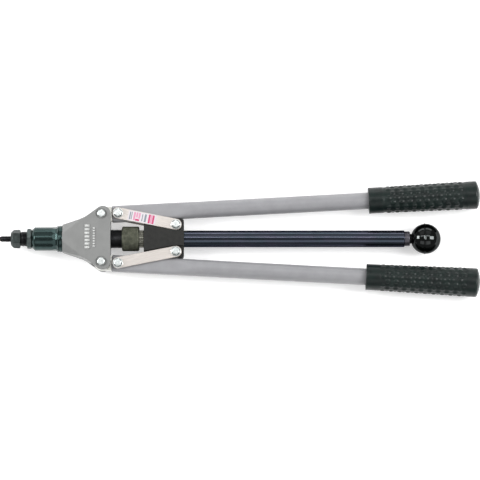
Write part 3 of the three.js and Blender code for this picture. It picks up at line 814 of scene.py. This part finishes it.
def build_head():
    low, high = span("head_casting")
    front, rear = low.x, high.x
    half_front = (high.z - low.z) / 2
    half = half_front - 1.9
    front_y = 15.8
    waist = (front + 25.0, 23.1)
    outline = head_outline(front, rear, front_y, waist, high.y - PIVOT.y)
    body = prism(outline, -half_front, half_front)
    data = combine(body, head_cuts(front, rear, front_y, waist, half_front, half), "DIFFERENCE")
    voxel = 0.42
    data = joined(cast_skin(data, voxel, 5), *relief_blocks(half))
    casting = part("head_casting", data, TOOL, "head", PAINT_HEAD, False)

    def on_block(spot, normal):
        above = spot.z - AXIS_Z > half + 0.5 and normal.z > 0.7
        return above and -180 < spot.x < -166 and abs(spot.y) < 17

    repaint(casting, PAINT_RUBBED, on_block)


def corner_wedge(front, waist, front_y, half_front, half, y, z):
    """The wedge that leaves a flat facet on one front corner of the head."""
    ahead, behind = front - 1, waist[0] - 3
    out = half_front + 14
    points = [(ahead, front_y * 0.22, half_front + 0.1), (ahead, front_y + 0.1, half_front * 0.4)]
    points += [(behind, waist[1] - 1.5, half), (ahead, front_y + 10, half_front * 0.4)]
    points += [(ahead, front_y * 0.22, out), (ahead, front_y + 10, out), (behind, waist[1] + 2, out)]
    wedge = bmesh.new()
    for px, py, pz in points:
        wedge.verts.new((px, py * y, pz * z))
    bmesh.ops.convex_hull(wedge, input=wedge.verts)
    wedge.verts.ensure_lookup_table()
    wedge.verts.index_update()
    faces = [[v.index for v in f.verts] for f in wedge.faces]
    vertices = [tuple(v.co) for v in wedge.verts]
    wedge.free()
    return vertices, faces


def build_pivots():
    for name, side in SIDES:
        place = upright(PIVOT.x, PIVOT.y * side)
        node = f"{name}_pivot_bolt"
        low, high = span(node)
        top = high.z - AXIS_Z
        seat = top - 4.0
        head = hex_solid(seat, top, 8.0, math.radians(20))
        shank = rod_z(low.z - AXIS_Z, seat + 0.5, 3.0)
        part(node, joined(head, shank), place, "head", ZINC)
        node = f"{name}_pivot_nut"
        part(node, nut_below(node, 10.0, 3.05), place, "head", ZINC)


# ---- arms ----
def rounded_section(half_y, half_z, corner, count=16):
    """Points round a rectangle with rounded corners; a corner as big as the halves gives a circle."""
    points = []
    for quarter, (sy, sz) in enumerate(((1, 1), (-1, 1), (-1, -1), (1, -1))):
        cy, cz = sy * (half_y - corner), sz * (half_z - corner)
        for k in range(count):
            turn = math.pi / 2 * (quarter + k / (count - 1))
            points.append((cy + corner * math.cos(turn), cz + corner * math.sin(turn)))
    return points


def loft(stations):
    """A closed skin through equal loops of points. Stations are (x, loop); the last meets the first."""
    vertices, faces = [], []
    for x, points in stations:
        vertices += [(x, y, z) for y, z in points]
    count, total = len(stations[0][1]), len(stations)
    for i in range(total):
        a, b = i * count, ((i + 1) % total) * count
        faces += [[a + k, a + (k + 1) % count, b + (k + 1) % count, b + k] for k in range(count)]
    return vertices, faces


ARM_FRONT, ARM_ROUND_FROM, ARM_ROUND_AT = 12.3, 80.0, 114.0


def build_arms():
    tube_r = 9.7
    flat_y, flat_z = 9.6, 6.5  # half sizes of the flattened front end
    end = (span("upper_arm_tube")[1].x - PIVOT.x) / math.cos(SPLAY) - 0.5
    stations = []

    def section(x, shrink=0.0):
        t = step01((x - ARM_ROUND_FROM) / (ARM_ROUND_AT - ARM_ROUND_FROM))
        half_y = flat_y + (tube_r - flat_y) * t - shrink
        half_z = flat_z + (tube_r - flat_z) * t - shrink
        corner = min(half_y, half_z) - 0.01 if t >= 1 else (4.0 + (tube_r - 4.0) * t) - shrink
        return rounded_section(half_y, half_z, min(corner, half_y - 0.005, half_z - 0.005))

    for x, shrink in ((ARM_FRONT, 0.7), (ARM_FRONT + 0.25, 0.25), (ARM_FRONT + 0.8, 0.0)):
        stations.append((x, section(x, shrink)))
    count = 40
    for k in range(count + 1):
        x = ARM_FRONT + 6 + (ARM_ROUND_AT + 4 - ARM_FRONT - 6) * k / count
        stations.append((x, section(x)))
    for x in (160, 220, 280, end):
        stations.append((x, section(x)))
    flat_bore, round_bore = rounded_section(7.95, 4.55, 1.2), rounded_section(7.9, 7.9, 7.89)
    stations += [(end, round_bore), (200, round_bore), (120, round_bore), (60, flat_bore)]
    stations += [(ARM_FRONT + 0.4, flat_bore), (ARM_FRONT, rounded_section(8.3, 4.9, 1.4))]
    data = loft(stations)
    for name, side in SIDES:
        part(f"{name}_arm_tube", data, along_arm(side), f"{name}_arm", PAINT_ARM, False)


def build_eyes():
    r, neck = 8.4, 12.0
    outline = [(neck, r)] + arc(0, 0, r, 90, 270, 40) + [(neck, -r)]
    plate = slab(outline, [circle(0, 0, 4.65)], -6.5, 6.5, 0.5)
    for name, side in SIDES:
        tongue = box_mesh(neck - 1, 32.5, -7.8, 7.8, -4.4, 4.4)
        data = combine(plate, [tongue], "UNION")
        place = along_arm(side)
        part(f"{name}_arm_eye", data, place, f"{name}_arm", EYE_STEEL)
        bush = stood_up(ring([(-6.6, 3.1), (-6.6, 4.6), (6.6, 4.6), (6.6, 3.1)], 0.2, 2, 48))
        part(f"{name}_pivot_bush", bush, place, f"{name}_arm", BRONZE)


GRIP_COLLAR, GRIP_TAIL = 17.0, 15.0
DOT_PITCH, DOT_ROWS, DOT_R, DOT_HEIGHT = 9.85, 16, 2.9, 0.95


def dotted(front_r, front, end):
    """Radius rule of a grip: domes on a staggered grid between its smooth collar and its smooth tail."""
    first, last = front + GRIP_COLLAR, end - GRIP_TAIL
    columns = int((last - first) / DOT_PITCH)
    start = first + DOT_PITCH / 4 + (last - first - (columns + 0.5) * DOT_PITCH) / 2 + DOT_PITCH / 4

    def rule(x, turn, r):
        if r < front_r - 2 or not first - 2 < x < last + 2:
            return r
        sink = 0.55 * step01((x - first + 2) / 4.0) * step01((last + 2 - x) / 4.0)
        around = turn * DOT_ROWS / (2 * math.pi)
        best = 0.0
        for row in (math.floor(around), math.floor(around) + 1):
            across = (around - row) * 2 * math.pi / DOT_ROWS * r
            shift = start + (DOT_PITCH / 2 if row % 2 else 0.0)
            column = round((x - shift) / DOT_PITCH)
            if not 0 <= column < columns:
                continue
            gap = math.hypot(x - shift - column * DOT_PITCH, across)
            if gap < DOT_R:
                best = max(best, (1 - (gap / DOT_R) ** 2) ** 0.6)
        return r - sink + DOT_HEIGHT * best

    return rule


def build_grips():
    c, s = math.cos(SPLAY), math.sin(SPLAY)
    front_r, bore, dome_r = 15.0, 9.85, 13.6
    arm_end = (span("upper_arm_tube")[1].x - PIVOT.x) / c
    for name, side in SIDES:
        rear_r = 16.2 if side == UP else 16.7
        low, high = span(f"{name}_grip")
        end = (high.x - PIVOT.x - (rear_r - 3) * s) / c
        front = (low.x - PIVOT.x + front_r * s) / c + 0.1
        apex = end + (1.8 if side == UP else 1.0)
        outline = [(front, bore), (front, front_r - 0.2), (front + 0.5, front_r + 0.3)]
        outline += [(front + 2.4, front_r + 0.05)]
        outline += [(front + GRIP_COLLAR, front_r + 0.15), (end - GRIP_TAIL, rear_r), (apex - 4.9, rear_r)]
        outline = soften(outline, 0.7, 3)
        outline += [(apex - 4.0, rear_r - 0.3), (apex - 3.3, rear_r - 1.0), (apex - 2.8, rear_r - 2.1)]
        outline += [(apex - (dome_r * k / 9) ** 2 / 74, dome_r * k / 9) for k in range(9, -1, -1)]
        step = 0.5
        outline = refine(outline, step, front + GRIP_COLLAR - 2, end - GRIP_TAIL + 2)
        profile = [(arm_end + 0.5, 0), (arm_end + 0.5, bore)] + outline
        segments = 224
        data = turned(profile, segments, dotted(front_r, front, end))
        part(f"{name}_grip", data, along_arm(side), f"{name}_arm", RUBBER, False)


# ---- links ----
def build_links():
    low, high = span("upper_front_link")
    z0, z1 = low.z - AXIS_Z, high.z - AXIS_Z
    half = 6.5
    outline = arc(0, 0, half, 90, 270, 32) + arc(LINK_LENGTH, 0, half, -90, 90, 32)
    holes = [circle(0, 0, 2.6), circle(LINK_LENGTH, 0, 2.6)]
    bar = slab(outline, holes, z0, z1, 0.35)
    rear_bar = slab(outline, holes, -z1, -z0, 0.35)
    for name, side in SIDES:
        place = along_link(side)
        for where, data in (("front", bar), ("rear", rear_bar)):
            part(f"{name}_{where}_link", data, place, f"{name}_links", LINK_STEEL[side])
    build_label(z1)
    for name, side in SIDES:
        build_link_bolt(f"{name}_arm_link", ARM_PIN, side, f"{name}_arm", 20)
        build_link_bolt(f"{name}_crosshead_link", CROSS_PIN, side, f"{name}_links", 40)


def build_link_bolt(joint_name, at, side, body, turned_by):
    """A flanged hexagon bolt with its nut below. The ring round the hexagon's foot is darkened as painted
    shade.
    """
    place = upright(at.x, at.y * side)
    node = joint_name + "_bolt"
    low, high = span(node)
    top = high.z - AXIS_Z
    seat = top - 4.4
    head = hex_solid(top - 3.9, top, 8, math.radians(turned_by))
    shank = rod_z(low.z - AXIS_Z, top - 3.2, 2.5)
    flange = [(seat, 5.6), (seat + 0.5, 5.8), (seat + 0.9, 5.5), (seat + 1.0, 4.95), (seat + 1.05, 4.0)]
    flange = stood_up(turned(solid_profile(flange, 0.15), 56))
    bolt = part(node, joined(head, flange, shank), place, body, ZINC)
    foot_z = AXIS_Z + seat + 1.0

    def in_foot_shade(spot, normal):
        out = math.hypot(spot.x - at.x, spot.y - at.y * side)
        return 3.95 < out < 4.95 and abs(spot.z - foot_z) < 0.15 and normal.z > 0.5

    # the ring at the hexagon's foot gets the darker finish as painted shade
    repaint(bolt, BOLT_FOOT_SHADE, in_foot_shade)
    node = joint_name + "_nut"
    part(node, nut_below(node, 8, 2.55), place, body, ZINC)


def build_label(level):
    """Plain sticker on the upper front link: a white film with a few plain colour blocks."""
    place = along_link(UP)
    start, end, half = 12.0, 45.0, 5.9
    outline = soften([(start, -half), (end, -half), (end, half), (start, half)], 0.8, 3, True)
    film = slab(outline, [], level + 0.01, level + 0.13, 0.03)
    piece("link_label", film, place, "upper_links", ink("label_film", (216, 210, 214)))
    rose, blush = ink("label_rose", (196, 62, 112)), ink("label_blush", (214, 146, 174))
    slate = ink("label_slate", (128, 136, 146))
    blocks = [
        (slate, 13.6, 15.0, -4.8, 4.4), (slate, 15.8, 16.7, -4.4, 4.8), (blush, 18.4, 20.6, -4.8, 4.9),
        (blush, 21.4, 23.4, -1.0, 4.9), (blush, 24.2, 26.2, -1.8, 4.9), (rose, 21.0, 25.6, -4.9, -2.6),
        (slate, 28.2, 29.2, -4.4, 4.2), (slate, 31.2, 33.4, -4.6, 4.6), (rose, 35.8, 38.0, -5.2, 5.2),
        (blush, 38.4, 40.0, -5.2, 5.2), (rose, 40.4, 42.6, -5.2, 5.0),
    ]
    for k, (material, x0, x1, y0, y1) in enumerate(blocks):
        shape = soften([(x0, y0), (x1, y0), (x1, y1), (x0, y1)], 0.35, 2, True)
        data = slab(shape, [], level + 0.12, level + 0.17, 0.015)
        piece(f"label_block_{k + 1}", data, place, "upper_links", material)


def ink(name, rgb):
    s = Shader(name, 0.0, coat=0.4, coat_roughness=0.2)
    s.color(s.mix(s.noise(1.1, 3), linear([v * 0.93 for v in rgb]), linear(rgb)))
    s.roughness(s.range(s.noise(2, 2), 0.3, 0.7, 0.3, 0.4))
    return s.material


# ---- crosshead, stroke stop and guide tube ----
def build_crosshead():
    low, high = span("crosshead")
    x0, x1 = low.x, high.x
    rear_half = high.y
    front_half = 18.6
    outline = [(x0, -front_half), (x1, -rear_half), (x1, rear_half), (x0, front_half)]
    rounded = soften(outline, 3.6, 6, True)
    ear_z = 6.5
    hub_z = high.z - AXIS_Z
    ears = slab(rounded, [], -ear_z, ear_z, 0.6)
    hub_front, hub_rear = 15.4, 8.8
    hub_outline = [(x0, -hub_front), (CROSS_PIN.x, -hub_rear), (x1, -hub_rear)]
    hub_outline += [(x, -y) for x, y in hub_outline[::-1]]
    hub = slab(hub_outline, [], -hub_z, hub_z, 0.7)
    data = combine(ears, [hub], "UNION")
    bore = 8.8
    cuts = [turned([(x0 - 2, 0), (x0 - 2, bore), (x1 + 2, bore), (x1 + 2, 0)], 64)]
    front, rear = CROSS_PIN.x - 2.8, CROSS_PIN.x + 5.0
    inner, outer = CROSS_PIN.y - 2.8, CROSS_PIN.y + 3.7
    hole = soften([(front, inner), (rear, inner), (rear, outer), (front, outer)], 2.5, 5, True)
    for side in (UP, DOWN):
        cuts.append(prism([(x, y * side) for x, y in hole][::side], -ear_z - 2, ear_z + 2))
    data = combine(data, cuts, "DIFFERENCE")
    part("crosshead", data, TOOL, "crosshead", PHOSPHATE)


def build_traction():
    low, high = span("traction_sleeve")
    r = (high.y - low.y) / 2
    x0, x1, bore = low.x, span("stroke_nut")[0].x + 13.8, 5.0
    outline = [(x0, bore), (x0, r - 1), (x0 + 1, r), (x1, r), (x1, 8.6), (high.x, 8.5), (high.x, bore)]
    rule = thread(x0 + 1.5, x1 + 1, 1.5, r, 0.42)
    data = ring(outline, 0.2, 2, 72, rule, (0.25, x0 + 20, x1))
    part("traction_sleeve", data, TOOL, "crosshead", BLACK_OXIDE, False)
    build_toothed_neck(x1 + 0.1, span("crosshead")[0].x - 0.2)
    build_stroke_nut()

    low, high = span("detent_ring")
    data = ring([(low.x, 10.4), (low.x, 11.4), (high.x, 11.4), (high.x, 10.4)], 0.2, 2, 64)
    part("detent_ring", data, TOOL, "detent_ring", ROD_STEEL)
    low, high = span("thrust_washer")
    data = ring([(low.x, 4.8), (low.x, 7.8), (high.x, 7.8), (high.x, 4.8)], 0.2, 2, 48)
    part("thrust_washer", data, TOOL, "crosshead", BRONZE)


def build_toothed_neck(front, rear):
    """The splined length of the traction sleeve that the stroke nut's detent ring slides on."""
    teeth, r, bore = 20, 10.1, 8.65

    def toothed(x, turn, radius):
        if radius < r - 1:
            return radius
        wave = saw(turn * teeth / (2 * math.pi))
        return radius - 1.1 * step01((wave - 0.4) * 4)

    outline = [(front, bore), (front, r), (rear, r), (rear, bore)]
    data = ring(outline, 0.5, 3, teeth * 12, toothed)
    piece("toothed_neck", data, TOOL, "crosshead", NECK_STEEL)


def build_stroke_nut():
    low, high = span("stroke_nut")
    r = (high.y - low.y) / 2
    ridges = 84
    lead = 2 * math.pi * r / ridges

    def knurled(x, turn, radius):
        if radius < r - 0.4:
            return radius
        fade = step01((x - low.x - 1.4) / 0.8) * step01((high.x - 1.4 - x) / 0.8)
        a = saw(turn * ridges / (2 * math.pi) + (x - low.x) / (2 * lead))
        b = saw(turn * ridges / (2 * math.pi) - (x - low.x) / (2 * lead))
        return radius - 0.42 * fade * (1 - min(1, 1.3 * min(a, b)))

    bore, rear_bore, step = 11.3, 11.8, high.x - 6.1
    outline = [(low.x, bore), (low.x, r - 1.1), (low.x + 1.1, r), (high.x - 1.1, r)]
    outline += [(high.x, r - 1.1), (high.x, rear_bore), (step, rear_bore), (step, bore)]
    fine = (0.27, low.x + 1.1, high.x - 1.1)
    data = ring(outline, 0.3, 3, ridges * (6), knurled, fine)
    part("stroke_nut", data, TOOL, "stroke_nut", KNURL_STEEL, False)


def build_tube():
    low, high = span("guide_tube")
    r = (high.y - low.y) / 2
    bore, spigot, shoulder = 7.5, 8.5, span("crosshead")[1].x + 0.2
    outline = [(low.x, bore), (low.x, spigot), (shoulder, spigot), (shoulder, r), (high.x, r), (high.x, bore)]
    part("guide_tube", ring(outline, 0.2, 3, 128), TOOL, "crosshead", BLUED)
    bore, spigot, shoulder = 4.8, 7.2, high.x + 0.2
    low, high = span("tube_end_bush")
    r = (high.y - low.y) / 2
    outline = [(low.x, bore), (low.x, spigot), (shoulder, spigot), (shoulder, r - 0.3), (shoulder + 0.3, r)]
    outline += [(high.x - 0.7, r), (high.x, r - 0.8), (high.x, bore)]
    part("tube_end_bush", ring(outline, 0.3, 3, 96), TOOL, "crosshead", COLLAR_STEEL)


# ---- spindle ----
def build_spindle():
    low, high = span("mandrel")
    tip, head, r, head_r = low.x, high.x - 4.7, 3.5, 4.5
    outline = [(tip, 2.1), (tip + 0.5, 2.6), (tip + 1.6, 3.1), (tip + 2.8, r), (head, r), (head, head_r)]
    profile = refine(solid_profile(outline + [(high.x, head_r)], 0.15), 0.125, tip + 0.6, tip + 20)
    rule = thread(tip + 0.3, head, 1.0, 2.0, 0.4)
    part("mandrel", turned(profile, 56, rule), TOOL, "spindle", BLACK_OXIDE, False)

    low, high = span("mandrel_adapter")
    lip, hole, bore, r = low.x + 3, 3.7, 4.8, 6
    outline = [(low.x, hole), (low.x, 5.2), (low.x + 0.8, r), (high.x, r), (high.x, bore)]
    outline += [(lip, bore), (lip, hole)]
    part("mandrel_adapter", ring(outline, 0.2, 2, 48), TOOL, "spindle", BLACK_OXIDE)

    low, high = span("spindle_rod")
    front, r, collar_r = span("thrust_washer")[1].x + 0.3, 4.5, 6.9
    rear = front + 5.4
    outline = [(low.x, r), (front, r), (front, collar_r), (rear, collar_r), (rear, r), (high.x, r)]
    data = turned(solid_profile(outline, 0.3), 48)
    part("spindle_rod", data, TOOL, "spindle", ROD_STEEL)

    low, high = span("knob_stud")
    r = (high.y - low.y) / 2
    outline = [(low.x, r - 0.5), (low.x + 0.5, r)]
    for k in range(3):
        groove = low.x + 1.4 + 1.5 * k
        outline += [(groove - 0.35, r), (groove, r - 0.55), (groove + 0.35, r)]
    data = turned(solid_profile(outline + [(high.x, r)], 0.2), 64)
    part("knob_stud", data, TOOL, "spindle", BLACK_OXIDE)
    build_ball(high.x, r)


def build_ball(stud_end, stud_r):
    """A moulded ball with a blind hole for the stud and a low ridge at its parting seam."""
    low, high = span("ball_knob")
    r = (high.z - low.z) / 2
    centre = high.x - r
    ridge, seam = 0.65, centre - 1.4
    start = math.acos((centre - low.x) / r)
    steps = 72

    def surface(k):
        turn = start + (math.pi - start) * k / steps
        x = centre - r * math.cos(turn)
        return x, r * math.sin(turn) + ridge * math.exp(-((x - seam) / 0.8) ** 2)

    hole_end = stud_end + 0.3
    profile = [(hole_end, 0), (hole_end, stud_r + 0.25), (low.x + 0.5, stud_r + 0.3), surface(0)]
    for k in range(1, steps):
        profile.append(surface(k))
        if abs(profile[-1][0] - seam) < 1.6:
            profile += [surface(k + part_way) for part_way in (0.25, 0.5, 0.75)]
    profile.append((surface(steps)[0], 0))
    part("ball_knob", turned(profile, 128), TOOL, "spindle", PHENOLIC, False)


build_nose()
build_barrel()
build_head()
build_pivots()
build_arms()
build_eyes()
build_grips()
build_links()
build_crosshead()
build_traction()
build_tube()
build_spindle()


# ---- floor and light ----
def build_floor():
    made = bpy.data.meshes.new("floor")
    reach = 4.0
    corners = [(-reach, -reach, 0), (reach, -reach, 0), (reach, reach, 0), (-reach, reach, 0)]
    made.from_pydata(corners, [], [[0, 1, 2, 3]])
    floor = bpy.data.objects.new("floor", made)
    link(floor)
    s = Shader("floor_paper", 0.0, specular=0.1)
    s.color(s.mix(s.noise(400, 2), linear((224, 224, 224)), linear((227, 227, 227))))
    s.roughness(s.range(s.noise(60, 2), 0.3, 0.7, 0.85, 0.95))
    s.surface.inputs["Emission Color"].default_value = (1, 1, 1, 1)
    s.surface.inputs["Emission Strength"].default_value = 0.42
    made.materials.append(s.material)


def area_light(name, place, size, power, aim_at=(0, 0, 0)):
    data = bpy.data.lights.new(name, "AREA")
    data.shape = "RECTANGLE"
    data.size, data.size_y = size
    data.energy = power
    made = bpy.data.objects.new(name, data)
    made.location = place
    made.rotation_euler = (Vector(aim_at) - Vector(place)).to_track_quat("-Z", "Y").to_euler()
    link(made)


def towards(distance, east, north):
    """A point at the distance, leaning from the zenith by degrees towards +X and towards +Y."""
    x, y = math.tan(math.radians(east)), math.tan(math.radians(north))
    return Vector((x, y, 1)).normalized() * distance


def build_light():
    world = bpy.data.worlds.new("studio")
    bpy.context.scene.world = world
    world.use_nodes = True
    world.node_tree.nodes["Background"].inputs["Color"].default_value = (1, 1, 1, 1)
    world.node_tree.nodes["Background"].inputs["Strength"].default_value = 0.24
    area_light("left_box", towards(1.7, -58, 13), (0.6, 0.65), 20)
    area_light("right_box", towards(1.7, 50, 2), (0.55, 0.85), 18, (0.1, 0, 0))
    area_light("low_strip", towards(1.6, 0, 76), (2.6, 0.4), 8.5)
    area_light("high_strip", towards(1.8, 0, 16), (2.6, 0.3), 8)
    area_light("north_panel", towards(1.7, 0, 44), (2.6, 0.9), 3)
    area_light("south_panel", towards(1.7, 0, -40), (2.6, 0.8), 6.5)
    scene = bpy.context.scene
    scene.view_settings.view_transform = "Standard"
    scene.view_settings.look = "None"
    scene.view_settings.exposure = 0.0


build_floor()
build_light()
